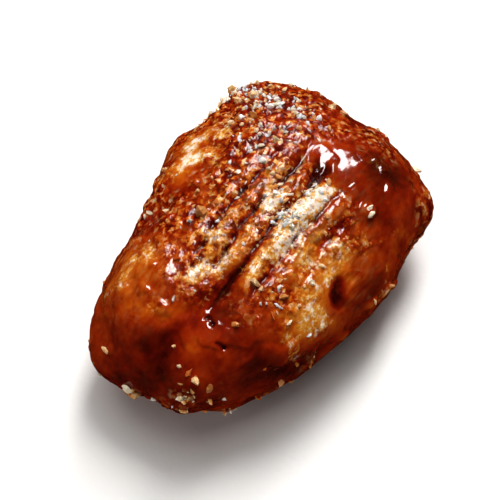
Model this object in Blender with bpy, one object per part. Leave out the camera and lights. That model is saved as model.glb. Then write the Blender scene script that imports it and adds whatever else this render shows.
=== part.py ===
"""One candied almond: a whole kernel inside a lumpy crust of caramelised sugar.

The nut lies on its flat side on the plane z = 0, with its blunt end towards +X. It is worked out in
millimetres as a bare body plus a height of crust along the body's normal, and written in metres.
"""

import math

import bmesh
import bpy
from mathutils import Vector, noise

MM = 0.001

# The coated nut, lying down
LENGTH = 28.0
WIDTH = 19.3
HEIGHT = 14.1
SQUARENESS = 2.3  # exponent of the rounded body: 2 is an ellipsoid, more is boxier
TAPER_WIDTH = 0.13  # the blunt end is this share wider than the middle, the tip this share narrower
TAPER_HEIGHT = 0.10
LEAN = 0.045  # the long axis leans this much towards +Y
CRUST_RELIEF = 0.66  # the lumps stand about this far out of the bare body
REST_PRESS = 0.95  # how far the underside is pressed flat

# Finished mesh
GRID_CELLS = 58  # cells along each edge of the cube that is blown up into the body
KEPT_SHARE = 0.245  # share of its triangles that the finished solid keeps

# Broad corners and flats of the whole nut: bearing from +X, height angle and spread in degrees, rise
CORNERS = (
    ("blunt_near_corner", 320, -1, 15, 1.45),
    ("blunt_far_corner", 48, 18, 15, 1.05),
    ("blunt_flat", 6, 14, 20, -0.55),
    ("tip_corner", 155, -5, 16, 1.45),
    ("tip_flat", 192, -14, 15, -0.35),
    ("near_flat", 237, -18, 14, -0.40),
    ("far_flat", 102, 12, 20, -0.50),
    ("far_corner", 80, 14, 11, 0.90),
)

# Lumps of crust: bearing from +X and height angle in degrees, then radius and rise
LUMPS = (
    ("shoulder", 152, 38, 4.6, 0.70),
    ("tip", 181, 6, 3.4, 0.20),
    ("tip_foot", 204, 14, 3.6, 0.70),
    ("tip_back", 140, 4, 4.2, 0.35),
    ("near_cheek", 250, 27, 4.6, 0.45),
    ("near_foot", 283, 2, 5.2, 0.35),
    ("blunt_near", 318, 34, 5.0, 0.45),
    ("blunt_low", 342, -4, 4.6, 0.30),
    ("blunt_far", 24, 18, 5.0, 0.50),
    ("crown", 34, 62, 4.4, 0.35),
    ("far_cheek", 84, 26, 4.8, 0.50),
    ("far_foot", 60, -12, 4.4, 0.30),
)
SPARE_LUMPS = 16  # more lumps spread evenly over the rest of the crust
SPARE_TURN = 25  # degrees
SPARE_JITTER = 0.18  # share of the body's radius by which their places wander
SPARE_RADIUS = (2.6, 4.4)
SPARE_RISE = (0.10, 0.34)
LUMP_BLEND = 0.22  # how far a crease between two lumps is filled

# Ridges of the kernel's skin, which show through the thin crust on top
RIDGE_PITCH = 1.75
RIDGE_DEPTH = 0.56
RIDGE_DATUM = 0.75  # share of its height at which a ridge meets the crust around it
RIDGE_SHARPNESS = 0.75  # below 1 the grooves are sharper than the crests
RIDGE_CENTRE = (-0.4, -1.2)
RIDGE_HALF_SPAN = (7.8, 5.4)
RIDGE_FADE = (0.45, 1.00)  # shares of the half span over which the ridges fade out
RIDGE_TURN = 3.0  # degrees that the ridges turn from the long axis

# Thicker sheets of crust, which end in a low ledge
SHEET_RISE = 0.16
SHEET_LEAST = 0.3  # share of that rise left where a sheet is most worn
SHEET_WORN = (-0.3, 0.3)
SHEET_EDGE = (0.00, 0.16)

# Patterns of smooth noise: the size of a feature, a shift that sets the pattern apart, and its strength
RIDGE_FRINGE = (2.2, 5.1, 0.28)  # breaks up the edge of the ridges' field
RIDGE_BEND = (5.0, 14.0, 0.45)  # bends the ridges along their length
RIDGE_WANDER = (1.5, 8.3, 0.16)  # and makes them waver
RIDGE_UNEVEN = (2.4, 7.7, 0.45)  # makes them deeper here than there
SHEET_PLACE = (5.2, 9.6, 1.00)
SHEET_FRINGE = (1.1, 6.6, 0.40)
SHEET_WEAR = (4.3, 12.7, 1.00)
SWELL = (2.9, 1.0, 0.22)
GRIT = (1.05, 2.0, 0.12)
CRUMB_FRINGE = (0.6, 4.1, 0.35)

# Furrows: bearing and height angle of both ends in degrees, then half width and depth
FURROWS = (
    ("under_shoulder", (181, 22), (222, 66), 0.85, 0.50),
    ("beside_ridges", (268, 58), (300, 52), 0.60, 0.38),
    ("behind_cheek", (236, 12), (262, 6), 0.70, 0.40),
    ("blunt_crease", (352, 44), (8, 20), 0.60, 0.15),
    ("far_crease", (108, 52), (122, 16), 0.75, 0.42),
    ("tail_crease", (40, 8), (46, -34), 0.80, 0.40),
)
FURROW_BANKS = 2.2  # a furrow's banks end this many half widths from its line
FURROW_WANDER = 0.5
FURROW_WANDER_SIZE = 2.4

# Pits where a bubble of sugar burst, a little drawn out: bearing and height angle of both ends in
# degrees, then half width and depth
PITS = (
    ("bubble_high", (204, 51), (208, 49), 0.16, 0.46),
    ("bubble_low", (215, 41), (217, 40), 0.20, 0.42),
    ("hollow", (269, 36), (266, 32), 0.70, 0.36),
    ("crown_dimple", (328, 69), (336, 65), 0.72, 0.30),
    ("blunt_pit", (12, 37), (13, 34), 0.40, 0.20),
    ("far_pit", (93, 8), (95, 5), 0.45, 0.20),
)
PIT_WALL = (0.10, 1.50)  # the wall's foot and brim, as shares of the half width
PIT_WANDER = 0.26
PIT_WANDER_SIZE = 0.7

# Crumbs of sugar and nut that have set into the crust
CRUMBS = 18
CRUMB_RADIUS = (0.40, 0.75)
CRUMB_RISE = 0.45  # share of its radius that a crumb stands out
CRUMB_LOWEST = -0.25  # no crumb sits where the body's direction points down more steeply than this
CRUMB_SHARE = 0.35  # chance of a crumb at a place halfway along, on top
CRUMB_BLUNT_SHARE = 0.35  # what is added to it at the blunt end
CRUMB_SIDE_SHARE = 0.50  # what is added to it on the sides
SEED = 7


def direction(bearing, height_angle):
    """The unit vector at a bearing from +X and an angle above the body's middle, in degrees."""
    across = math.cos(math.radians(height_angle))
    return Vector(
        (
            math.cos(math.radians(bearing)) * across,
            math.sin(math.radians(bearing)) * across,
            math.sin(math.radians(height_angle)),
        )
    )


def body_point(unit):
    """The bare body's surface point in a direction, in millimetres from the body's middle."""
    reach = sum(abs(part) ** SQUARENESS for part in unit) ** (-1 / SQUARENESS)
    along, across, up = unit * reach
    x = along * (LENGTH / 2 - CRUST_RELIEF)
    y = across * (WIDTH / 2 - CRUST_RELIEF) * (1 + TAPER_WIDTH * along) + LEAN * x
    z = up * ((HEIGHT + REST_PRESS) / 2 - CRUST_RELIEF) * (1 + TAPER_HEIGHT * along)
    return Vector((x, y, z))


def body_normal(point):
    """The outward direction of the bare body at one of its points."""
    return Vector(
        (
            point.x / (LENGTH / 2) ** 2,
            point.y / (WIDTH / 2) ** 2,
            point.z / (HEIGHT / 2) ** 2,
        )
    ).normalized()


def smooth_step(low, high, value):
    """0 below low, 1 above high, and a smooth rise between them."""
    share = min(max((value - low) / (high - low), 0.0), 1.0)
    return share * share * (3 - 2 * share)


def smooth_max(first, second, blend):
    """The larger value, with the crease between the two rounded over a width of blend."""
    near = max(blend - abs(first - second), 0.0) / blend
    return max(first, second) + near * near * blend / 4


def noise_at(point, pattern):
    """Smooth noise about 0, from minus to plus the pattern's strength."""
    size, shift, strength = pattern
    return strength * noise.noise(point / size + Vector((shift, 2.3 * shift, -1.7 * shift)))


def line_distance(point, first, last):
    """How far a point is from a straight line between two places, and its share of the way."""
    line = last - first
    share = min(max((point - first).dot(line) / line.length_squared, 0.0), 1.0)
    return (point - first - line * share).length, share


def spread_directions(count, turn):
    """Unit vectors spread evenly over the whole body by the golden angle."""
    golden = math.degrees(math.pi * (3 - math.sqrt(5)))
    for number in range(count):
        level = 1 - 2 * (number + 0.5) / count
        yield direction(number * golden + turn, math.degrees(math.asin(level)))


def random_between(low_high):
    """A seeded random number between two limits."""
    low, high = low_high
    return low + (high - low) * noise.random()


def place_lumps():
    """Centre, radius and rise of each lump of crust, the named ones first."""
    noise.seed_set(SEED)
    lumps = [
        (body_point(direction(bearing, angle)), radius, rise)
        for _, bearing, angle, radius, rise in LUMPS
    ]
    for unit in spread_directions(SPARE_LUMPS, SPARE_TURN):
        jitter = noise.random_unit_vector() * SPARE_JITTER
        centre = body_point((unit + jitter).normalized())
        lumps.append((centre, random_between(SPARE_RADIUS), random_between(SPARE_RISE)))
    return lumps


def place_crumbs():
    """Centre and radius of each crumb, denser towards the blunt end and on the sides of the nut."""
    noise.seed_set(SEED + 1)
    crumbs = []
    while len(crumbs) < CRUMBS:
        unit = noise.random_unit_vector()
        chance = CRUMB_SHARE + CRUMB_BLUNT_SHARE * unit.x + CRUMB_SIDE_SHARE * (1 - abs(unit.z))
        if unit.z > CRUMB_LOWEST and noise.random() < chance:
            crumbs.append((body_point(unit), random_between(CRUMB_RADIUS)))
    return crumbs


def corner_height(unit):
    """Height of the nut's broad corners, less the depth of its flats, in a direction."""
    height = 0.0
    for _, bearing, angle, spread, rise in CORNERS:
        away = math.degrees(unit.angle(direction(bearing, angle))) / spread
        height += rise * math.exp(-away * away)
    return height


def lump_height(point, lumps):
    """Height of the lumps of crust, which run into each other in soft creases."""
    height = 0.0
    for centre, radius, rise in lumps:
        share = (point - centre).length / radius
        if share < 1:
            height = smooth_max(height, rise * (1 - share * share) ** 1.5, LUMP_BLEND)
    return height


def ridge_height(point):
    """Height of the skin's ridges: round crests and sharp grooves that fade out at the field's edge."""
    if point.z < 0:
        return 0.0
    turn = math.radians(RIDGE_TURN)
    x, y = point.x - RIDGE_CENTRE[0], point.y - RIDGE_CENTRE[1]
    along = x * math.cos(turn) + y * math.sin(turn)
    across = y * math.cos(turn) - x * math.sin(turn)
    edge = math.hypot(along / RIDGE_HALF_SPAN[0], across / RIDGE_HALF_SPAN[1])
    edge += noise_at(point, RIDGE_FRINGE)
    across += noise_at(point, RIDGE_BEND) + noise_at(point, RIDGE_WANDER)
    crest = abs(math.cos(math.pi * across / RIDGE_PITCH)) ** RIDGE_SHARPNESS
    depth = RIDGE_DEPTH * (1 + noise_at(point, RIDGE_UNEVEN))
    return depth * (crest - RIDGE_DATUM) * (1 - smooth_step(*RIDGE_FADE, edge))


def sheet_height(point):
    """Height of the thicker sheets of crust, which end in a ledge."""
    level = noise_at(point, SHEET_PLACE) + noise_at(point, SHEET_FRINGE)
    kept = SHEET_LEAST + (1 - SHEET_LEAST) * smooth_step(*SHEET_WORN, noise_at(point, SHEET_WEAR))
    return SHEET_RISE * kept * smooth_step(*SHEET_EDGE, level)


def furrow_depth(point):
    """Depth of the furrows at a point, whose lines wander a little."""
    depth = 0.0
    point = point + FURROW_WANDER * noise.noise_vector(point / FURROW_WANDER_SIZE)
    for _, start, end, half_width, deepest in FURROWS:
        ends = body_point(direction(*start)), body_point(direction(*end))
        gap, share = line_distance(point, *ends)
        fade = 1 - abs(2 * share - 1) ** 3
        bank = smooth_step(0.0, FURROW_BANKS * half_width, gap)
        depth = max(depth, deepest * fade * (1 - bank))
    return depth


def pit_depth(point):
    """Depth of the burst bubbles at a point, whose rims are uneven."""
    depth = 0.0
    foot, brim = PIT_WALL
    point = point + PIT_WANDER * noise.noise_vector(point / PIT_WANDER_SIZE)
    for _, start, end, half_width, deepest in PITS:
        gap, _ = line_distance(point, body_point(direction(*start)), body_point(direction(*end)))
        wall = smooth_step(foot * half_width, brim * half_width, gap)
        depth = max(depth, deepest * (1 - wall))
    return depth


def crumb_height(point, crumbs):
    """Height of the crumbs that have set into the crust."""
    height = 0.0
    ragged = noise_at(point, CRUMB_FRINGE)
    for centre, radius in crumbs:
        share = (point - centre).length / radius + ragged
        if share < 1:
            height = max(height, CRUMB_RISE * radius * (1 - max(share, 0.0) ** 3))
    return height


def crust_point(unit, lumps, crumbs):
    """The finished crust's surface point in a direction, in millimetres from the body's middle."""
    point = body_point(unit)
    height = corner_height(unit) + lump_height(point, lumps) - CRUST_RELIEF / 2
    height += ridge_height(point) + sheet_height(point)
    height += noise_at(point, SWELL) + noise_at(point, GRIT)
    height += crumb_height(point, crumbs) - furrow_depth(point) - pit_depth(point)
    return point + body_normal(point) * height


def sphere_grid(cells):
    """A cube cut into a grid and blown up into a ball, so that its cells are nearly even."""
    grid = bmesh.new()
    bmesh.ops.create_cube(grid, size=2)
    bmesh.ops.subdivide_edges(grid, edges=grid.edges[:], cuts=cells - 1, use_grid_fill=True)
    for vert in grid.verts:
        vert.co = Vector([math.tan(part * math.pi / 4) for part in vert.co]).normalized()
    return grid


def press_resting_face(mesh):
    """Presses the underside flat, as where the nut sets on the tray while its crust is soft."""
    tray = min(vert.co.z for vert in mesh.verts) + REST_PRESS
    for vert in mesh.verts:
        vert.co.z = max(vert.co.z, tray)


def centre_on_origin(mesh):
    """Puts the middle of the footprint's box at x = y = 0 and the resting face at z = 0."""
    low = Vector([min(vert.co[axis] for vert in mesh.verts) for axis in range(3)])
    high = Vector([max(vert.co[axis] for vert in mesh.verts) for axis in range(3)])
    offset = Vector(((low.x + high.x) / 2, (low.y + high.y) / 2, low.z))
    bmesh.ops.translate(mesh, vec=-offset, verts=mesh.verts[:])


def caramel_material():
    """Caramelised sugar: an amber brown, fairly glossy crust."""
    material = bpy.data.materials.new("caramel_crust")
    material.use_nodes = True
    shader = material.node_tree.nodes["Principled BSDF"]
    shader.inputs["Base Color"].default_value = (0.33, 0.082, 0.018, 1)
    shader.inputs["Roughness"].default_value = 0.25
    shader.inputs["Metallic"].default_value = 0.0
    return material


def thin_out(nut):
    """Keeps a share of the triangles, most of them where the crust bends sharply."""
    thin = nut.modifiers.new("fewer_triangles", "DECIMATE")
    thin.ratio = KEPT_SHARE
    thin.use_collapse_triangulate = True
    evaluated = nut.evaluated_get(bpy.context.evaluated_depsgraph_get())
    nut.data = bpy.data.meshes.new_from_object(evaluated)
    nut.modifiers.remove(thin)


def make_candied_almond():
    """The whole nut as one closed object."""
    lumps, crumbs = place_lumps(), place_crumbs()
    mesh = sphere_grid(GRID_CELLS)
    for vert in mesh.verts:
        vert.co = crust_point(vert.co, lumps, crumbs)
    bmesh.ops.triangulate(mesh, faces=mesh.faces[:])
    data = bpy.data.meshes.new("candied_almond")
    mesh.to_mesh(data)
    nut = bpy.data.objects.new("candied_almond", data)
    bpy.context.scene.collection.objects.link(nut)
    thin_out(nut)

    mesh.clear()
    mesh.from_mesh(nut.data)
    press_resting_face(mesh)
    centre_on_origin(mesh)
    bmesh.ops.scale(mesh, vec=(MM, MM, MM), verts=mesh.verts[:])
    mesh.to_mesh(nut.data)
    mesh.free()
    nut.data.materials.append(caramel_material())


def main():
    for old in list(bpy.data.objects):
        bpy.data.objects.remove(old)
    make_candied_almond()


main()
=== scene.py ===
"""The looks of one candied almond: its crust of caramelised sugar, grain by grain, on a pale floor.

The form is worked out as the solid's is, in millimetres about the body's middle, but on a much finer
grid. Geometry Nodes then raise the grain of the sugar on it and scatter loose crystals over it.
"""

import math

import bmesh
import bpy
import numpy as np
from bpy.props import FloatProperty, FloatVectorProperty, PointerProperty
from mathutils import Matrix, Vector, noise


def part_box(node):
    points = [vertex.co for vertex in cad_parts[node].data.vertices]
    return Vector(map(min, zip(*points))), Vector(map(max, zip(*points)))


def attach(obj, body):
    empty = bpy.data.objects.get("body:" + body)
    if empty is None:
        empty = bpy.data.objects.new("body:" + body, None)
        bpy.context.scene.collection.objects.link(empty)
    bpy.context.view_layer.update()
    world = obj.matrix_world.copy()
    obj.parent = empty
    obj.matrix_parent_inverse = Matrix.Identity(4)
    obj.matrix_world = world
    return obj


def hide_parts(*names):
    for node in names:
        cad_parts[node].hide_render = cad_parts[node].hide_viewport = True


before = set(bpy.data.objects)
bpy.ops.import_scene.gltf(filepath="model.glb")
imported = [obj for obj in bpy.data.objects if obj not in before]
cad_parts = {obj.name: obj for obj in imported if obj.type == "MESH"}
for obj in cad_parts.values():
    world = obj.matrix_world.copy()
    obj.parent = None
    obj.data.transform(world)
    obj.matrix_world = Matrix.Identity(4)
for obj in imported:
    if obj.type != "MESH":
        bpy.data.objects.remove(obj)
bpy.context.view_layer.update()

bl_info = {
    "name": "Candied almond",
    "version": (1, 0, 0),
    "blender": (4, 5, 0),
    "location": "View3D > Sidebar > Candied almond",
    "description": "Makes a candied almond with its sugar crust, crystals and crumbs, and a small stage",
    "category": "Add Mesh",
}

MM = 0.001
NODE = "candied_almond"
BODY = "root"
CRUST = "sugar_crust"
GRID_CELLS = 125  # cells along each edge of the cube that is blown up into the crust
SEED = 7

# The coated nut, lying down, in millimetres
LENGTH = 28.0
WIDTH = 19.3
HEIGHT = 14.1
SQUARENESS = 2.3
TAPER_WIDTH = 0.13
TAPER_HEIGHT = 0.10
LEAN = 0.045
CRUST_RELIEF = 0.66
REST_PRESS = 0.95

# Broad corners and flats: bearing from +X, height angle and spread in degrees, rise
CORNERS = (
    ("blunt_near_corner", 320, -1, 15, 1.45),
    ("blunt_far_corner", 48, 18, 15, 1.05),
    ("blunt_flat", 6, 14, 20, -0.55),
    ("tip_corner", 155, -5, 16, 1.45),
    ("tip_flat", 192, -14, 15, -0.35),
    ("near_flat", 237, -18, 14, -0.40),
    ("far_flat", 102, 12, 20, -0.50),
    ("far_corner", 80, 14, 11, 0.90),
)

# Lumps of crust: bearing from +X and height angle in degrees, then radius and rise
LUMPS = (
    ("shoulder", 152, 38, 4.6, 0.70),
    ("tip", 181, 6, 3.4, 0.20),
    ("tip_foot", 204, 14, 3.6, 0.70),
    ("tip_back", 140, 4, 4.2, 0.35),
    ("near_cheek", 250, 27, 4.6, 0.45),
    ("near_foot", 283, 2, 5.2, 0.35),
    ("blunt_near", 318, 34, 5.0, 0.45),
    ("blunt_low", 342, -4, 4.6, 0.30),
    ("blunt_far", 24, 18, 5.0, 0.50),
    ("crown", 34, 62, 4.4, 0.35),
    ("far_cheek", 84, 26, 4.8, 0.50),
    ("far_foot", 60, -12, 4.4, 0.30),
)
SPARE_LUMPS = 16
SPARE_TURN = 25
SPARE_JITTER = 0.18
SPARE_RADIUS = (2.6, 4.4)
SPARE_RISE = (0.10, 0.34)
LUMP_BLEND = 0.22

# Ridges of the kernel's skin, which show through the thin crust on top
RIDGE_PITCH = 1.75
RIDGE_DEPTH = 0.56
RIDGE_DATUM = 0.75
RIDGE_SHARPNESS = 0.75
RIDGE_CENTRE = (-0.4, -1.2)
RIDGE_HALF_SPAN = (7.8, 5.4)
RIDGE_FADE = (0.45, 1.00)
RIDGE_TURN = 3.0

# Thicker sheets of crust, which end in a low ledge
SHEET_RISE = 0.16
SHEET_LEAST = 0.3
SHEET_WORN = (-0.3, 0.3)
SHEET_EDGE = (0.00, 0.16)

# Patterns of smooth noise: the size of a feature, a shift that sets the pattern apart, and its strength
SHIFT_WAY = (1.0, 2.3, -1.7)  # the way that a shift moves the pattern
RIDGE_FRINGE = (2.2, 5.1, 0.28)
RIDGE_BEND = (5.0, 14.0, 0.45)
RIDGE_WANDER = (1.5, 8.3, 0.16)
RIDGE_UNEVEN = (2.4, 7.7, 0.45)
SHEET_PLACE = (5.2, 9.6, 1.00)
SHEET_FRINGE = (1.1, 6.6, 0.40)
SHEET_WEAR = (4.3, 12.7, 1.00)
SWELL = (2.9, 1.0, 0.22)
GRIT = (1.05, 2.0, 0.12)
CRUMB_FRINGE = (0.6, 4.1, 0.35)
SUGAR_PATCH = (4.6, 15.3, 0.75)
SUGAR_FRAY = (1.5, 18.1, 0.45)
CRYSTAL_PATCH = (4.6, 15.3, 0.375)
FROST_PATCH = (1.4, 21.7, 0.70)

# Shares of heights and depths
GRIT_ON_GLAZE = 0.3  # grit that is left where the glaze ran smooth
FURROW_SHADE = 0.4  # a furrow's depth that darkens the film: glaze that pools in it, and painted shade
CRUMB_SHINE = 0.5  # a set-in crumb's height that the glaze runs off

# Furrows: bearing and height angle of both ends in degrees, then half width and depth
FURROWS = (
    ("under_shoulder", (181, 22), (222, 66), 0.85, 0.50),
    ("beside_ridges", (268, 58), (300, 52), 0.60, 0.38),
    ("behind_cheek", (236, 12), (262, 6), 0.70, 0.40),
    ("blunt_crease", (352, 44), (8, 20), 0.60, 0.15),
    ("far_crease", (108, 52), (122, 16), 0.75, 0.42),
    ("tail_crease", (40, 8), (46, -34), 0.80, 0.40),
)
FURROW_BANKS = 2.2
FURROW_WANDER = 0.5
FURROW_WANDER_SIZE = 2.4

# Pits where a bubble of sugar burst, a little drawn out: bearing and height angle of both ends in
# degrees, then half width and depth
PITS = (
    ("bubble_high", (204, 51), (208, 49), 0.16, 0.46),
    ("bubble_low", (215, 41), (217, 40), 0.20, 0.42),
    ("hollow", (269, 36), (266, 32), 0.70, 0.36),
    ("crown_dimple", (328, 69), (336, 65), 0.72, 0.30),
    ("blunt_pit", (12, 37), (13, 34), 0.40, 0.20),
    ("far_pit", (93, 8), (95, 5), 0.45, 0.20),
)
PIT_WALL = (0.10, 1.50)
PIT_WANDER = 0.26
PIT_WANDER_SIZE = 0.7

# Crumbs of sugar and nut that have set into the crust
CRUMBS = 18
CRUMB_RADIUS = (0.40, 0.75)
CRUMB_RISE = 0.45
CRUMB_LOWEST = -0.25
CRUMB_SHARE = 0.35
CRUMB_BLUNT_SHARE = 0.35
CRUMB_SIDE_SHARE = 0.50

# Where the crust is grainy and where it has melted smooth: place about the body's middle, radius, amount
SUGAR_LEVEL = 0.42
SUGAR_ZONES = (
    ("crystals_on_the_crown", (6.2, 3.2, 5.2), 4.4, 0.75),
    ("crystals_on_the_far_edge", (6.6, 7.6, 2.6), 3.4, 0.55),
    ("ridges", (0.0, -1.8, 6.5), 4.8, 0.42),
    ("tan_cheek", (1.4, -6.0, 5.2), 2.2, 0.30),
    ("low_cheek", (-3.0, -7.4, 4.2), 2.2, -0.30),
    ("blunt_glaze", (8.6, -5.2, 4.2), 3.4, -0.70),
    ("glaze_beside_the_crystals", (6.7, -2.1, 5.8), 1.7, -0.80),
    ("near_flank_glaze", (3.6, -9.0, 1.4), 4.0, -0.50),
    ("tip_glaze", (-11.8, 0.8, 3.0), 3.8, -0.65),
    ("lower_glaze", (-7.6, -6.4, 2.8), 4.2, -0.50),
    ("foot_glaze", (-3.0, -8.8, -1.4), 5.0, -0.30),
)

# Where loose crystals lie thickly: place, radius, amount
CRYSTAL_LEVEL = 0.22
CRYSTALS_MOST = 1.5  # the other levels end at 1
CRYSTAL_ZONES = (
    ("crown", (6.4, 3.2, 5.2), 4.0, 0.68),
    ("far_edge", (6.8, 7.6, 2.6), 3.4, 0.60),
    # Past a level of 1 the crystals crowd and whiten further, which paints the bright ridge's highlight
    ("middle_of_the_bright_ridge", (0.6, -2.4, 6.9), 1.2, 1.30),
    ("top_of_the_bright_ridge", (3.3, -2.6, 6.8), 1.1, 1.10),
    ("top_of_the_second_ridge", (1.8, 0.2, 6.9), 1.1, 0.70),
    ("low_end_of_the_ridges", (-4.9, -4.6, 5.2), 1.2, 0.65),
    ("tan_cheek", (1.6, -6.0, 5.3), 1.8, 0.25),
    ("low_cheek", (-3.0, -7.4, 4.2), 2.4, -0.15),
    ("tip_lump", (-11.4, -3.6, 2.4), 1.6, 0.30),
    ("blunt_glaze", (9.0, -4.6, 4.2), 3.4, -0.60),
    ("glaze_beside_the_crystals", (6.7, -2.1, 5.8), 1.7, -0.70),
    ("near_flank_glaze", (3.6, -9.0, 1.4), 4.0, -0.20),
    ("tip_glaze", (-10.6, 0.8, 3.2), 4.0, -0.20),
)

# Where pale crumbs have stuck: place, radius, amount
CRUMBY_LEVEL = 0.02
CRUMBY_ZONES = (
    ("far_outline", (7.6, 8.0, 2.0), 2.2, 0.95),
    ("tip_lump", (-11.4, -3.6, 2.4), 2.0, 0.45),
    ("beside_the_ridges", (-2.6, -5.4, 5.2), 1.8, 0.35),
    ("blunt_end", (9.8, 2.4, 3.4), 3.0, 0.30),
)

# Where the nut's skin shows through on the crests: place, radius, amount
SKIN_LEVEL = 0.03
SKIN_ZONES = (
    ("ridges", (-0.2, -1.8, 6.4), 4.2, 0.80),
    ("tan_cheek", (0.4, -6.1, 4.9), 2.6, 0.50),
    ("shoulder", (-8.3, 3.1, 4.8), 2.6, 0.40),
)

# Pale, dry sugar that frosts the crests, painted white where it is thick, which on the ridges is also a
# painted highlight: both ends about the body's middle, half width, and an amount that keeps it off where
# it is below 0
FROST_STREAKS = (
    ("bright_ridge", (-4.3, -2.9, 6.2), (3.8, -2.8, 6.5), 0.90, 0.65),
    # The white streaks are a painted highlight on the ridges, over pale sugar
    ("highlight_on_the_bright_ridge", (-0.4, -2.8, 6.8), (1.2, -2.8, 6.8), 1.10, 0.80),
    ("highlight_at_its_end", (2.6, -2.8, 6.6), (3.9, -3.0, 6.4), 0.90, 0.60),
    ("second_ridge", (-5.6, -1.0, 6.1), (1.2, -0.6, 6.8), 0.75, 0.52),
    ("gold_at_its_low_end", (-5.6, -1.2, 6.0), (-4.4, -1.0, 6.3), 0.80, 0.32),
    # a painted highlight on the second ridge, over pale sugar
    ("highlight_on_the_second_ridge", (1.4, -0.2, 6.9), (2.6, 0.6, 6.8), 0.90, 0.75),
    ("third_ridge", (-6.6, 0.2, 5.9), (-1.6, 1.0, 6.8), 0.80, 0.62),
    ("cheek", (-1.1, -5.9, 5.3), (1.4, -6.1, 5.2), 1.40, 0.88),
    ("low_cheek", (-4.6, -7.4, 3.4), (-2.4, -7.8, 3.2), 1.20, 0.68),
    ("hollow", (-0.8, -8.0, 3.9), (-0.3, -8.0, 3.7), 0.90, -1.20),
    ("shoulder", (-9.0, 4.4, 3.4), (-6.8, 4.4, 4.6), 1.40, 0.50),
    ("far_facet", (1.2, 6.3, 4.6), (4.0, 6.2, 4.4), 1.60, 1.10),
    ("wine_glaze", (6.7, -2.1, 5.8), (9.6, -5.6, 3.6), 2.40, -0.60),
    ("tip_glaze", (-12.4, 1.0, 2.6), (-9.4, -5.0, 3.2), 2.60, -0.45),
)

# Where the glaze runs thick and dark, or thin and light: place, radius, amount
GLAZE_LEVEL = 0.47
GLAZE_ZONES = (
    ("wine_glaze", (7.8, -4.2, 4.8), 3.4, 0.36),
    ("tip_pool", (-12.3, -0.6, 1.6), 3.6, 0.30),
    ("lower_pool", (-7.6, -6.6, 2.6), 3.8, 0.30),
    ("foot_pool", (0.0, -8.0, -4.0), 6.5, 0.22),
    ("far_foot", (1.0, 9.0, -3.4), 6.5, 0.16),
    ("blunt_foot", (12.4, 0.0, -3.6), 6.0, 0.16),
    ("between_cheek_and_ridges", (-5.6, -3.4, 5.6), 2.2, 0.14),
    ("beside_the_bubbles", (-9.2, -3.4, 4.0), 1.6, -0.18),
    # darker in the hollow: glaze that pools there, and painted shade
    ("hollow", (-0.6, -8.0, 3.8), 1.2, 0.30),
    ("shoulder", (-8.3, 3.4, 4.6), 3.2, -0.06),
    ("far_facet", (1.8, 6.5, 4.4), 3.0, -0.28),
    ("tan_cheek", (0.6, -6.1, 5.1), 2.8, -0.34),
    ("red_flank", (2.5, -7.8, 3.2), 2.2, 0.14),
    ("low_cheek", (-3.4, -7.0, 4.2), 2.6, -0.42),
    ("ridge_crests", (0.4, -2.0, 6.4), 3.8, -0.10),
    ("under_the_crystals", (4.6, 3.6, 5.4), 4.4, 0.22),
)

# The grain that stands in the crust
GRAIN_REACH = 0.62  # distance from a grain's middle at which it ends, in grain sizes
GRAIN_ROUNDNESS = 2.2
GRAIN_CHANCE = 0.75  # share of a grain's height that is left to chance
GRAIN_WARP = 0.5 * MM
MORE_GRAINS = ((2.1, 0.011, 0.80), (0.6, 0.023, 0.40))  # share of the grain size, shift, weight
RIPPLE_DETAIL = 2.0

# Loose grains of each kind, scattered over the crust. A kind has the level on the crust that it follows
# and the power that crowds it there, its patches, the lowest place where it lies, how finely its shapes
# are divided and how far their corners are knocked about, the power that makes most of them small, and
# the tree's inputs
GRAIN_SHAPES = 4
LEAST_STRETCH = (0.8, 0.55, 0.4)  # how long, wide and thick a grain is, in grain sizes
MOST_STRETCH = (1.5, 1.0, 0.8)
TURN_SEED, SIZE_SEED, STRETCH_SEED, SHADE_SEED = 11, 12, 13, 14
THICK_WHITENS_AND_HIGHLIGHTS = 0.3  # how much whiter the grains are where they lie thickly: cleaner sugar, and a painted highlight where crystals crowd on the bright ridge
LOOSE_CRYSTALS = {
    "level": "crystals",
    "crowding": 2.4,
    "patches": (1.3 * MM, 1.0, 0.5),
    "lowest": 0.7 * MM,
    "steps": 1,
    "knock": 0.19,
    "smallness": 1.6,
    "inputs": {"Density": 8.5e6, "Smallest": 0.18 * MM, "Seed": 7},
}
LOOSE_CRUMBS = {
    "level": "crumby",
    "crowding": 1.5,
    "patches": (2.0 * MM, 1.0, 0.5),
    "lowest": 1.0 * MM,
    "steps": 2,
    "knock": 0.17,
    "smallness": 2.0,
    "inputs": {"Density": 2.6e6, "Smallest": 0.28 * MM, "Seed": 130},
}

# Patterns in the trees and materials: the size of a feature, how many finer layers it has, and how
# strong those are
GRAIN_SWIRL = (0.70 * MM, 1.0, 0.50)
TONE_DRIFT = (0.55 * MM, 2.0, 0.60)
FROST_GRAIN = (0.55 * MM, 3.0, 0.65)
FROST_DUST = (0.42 * MM, 2.0, 0.70)
FINE_GRIT = (0.16 * MM, 2.0, 0.50)
SOFT_WAVES = (0.70 * MM, 1.0, 0.50)
CRUMB_MOTTLE = (0.22 * MM, 2.0, 0.50)
CARD_TOOTH = (0.50 * MM, 2.0, 0.50)
FILM_CLOUDS = (  # each with its strength on smooth glaze and on grainy sugar
    ((2.6 * MM, 3.0, 0.60), 0.75, 0.80),
    ((1.0 * MM, 2.0, 0.60), 0.32, 0.90),
    ((0.4 * MM, 2.0, 0.60), 0.15, 0.90),
)
SPECK_SIZE = 0.30 * MM
SKIN_STREAK_SCALE = (1 / (1.1 * MM), 1 / (0.36 * MM), 1 / (0.36 * MM))
SKIN_STREAK_DETAIL = 2.0

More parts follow.
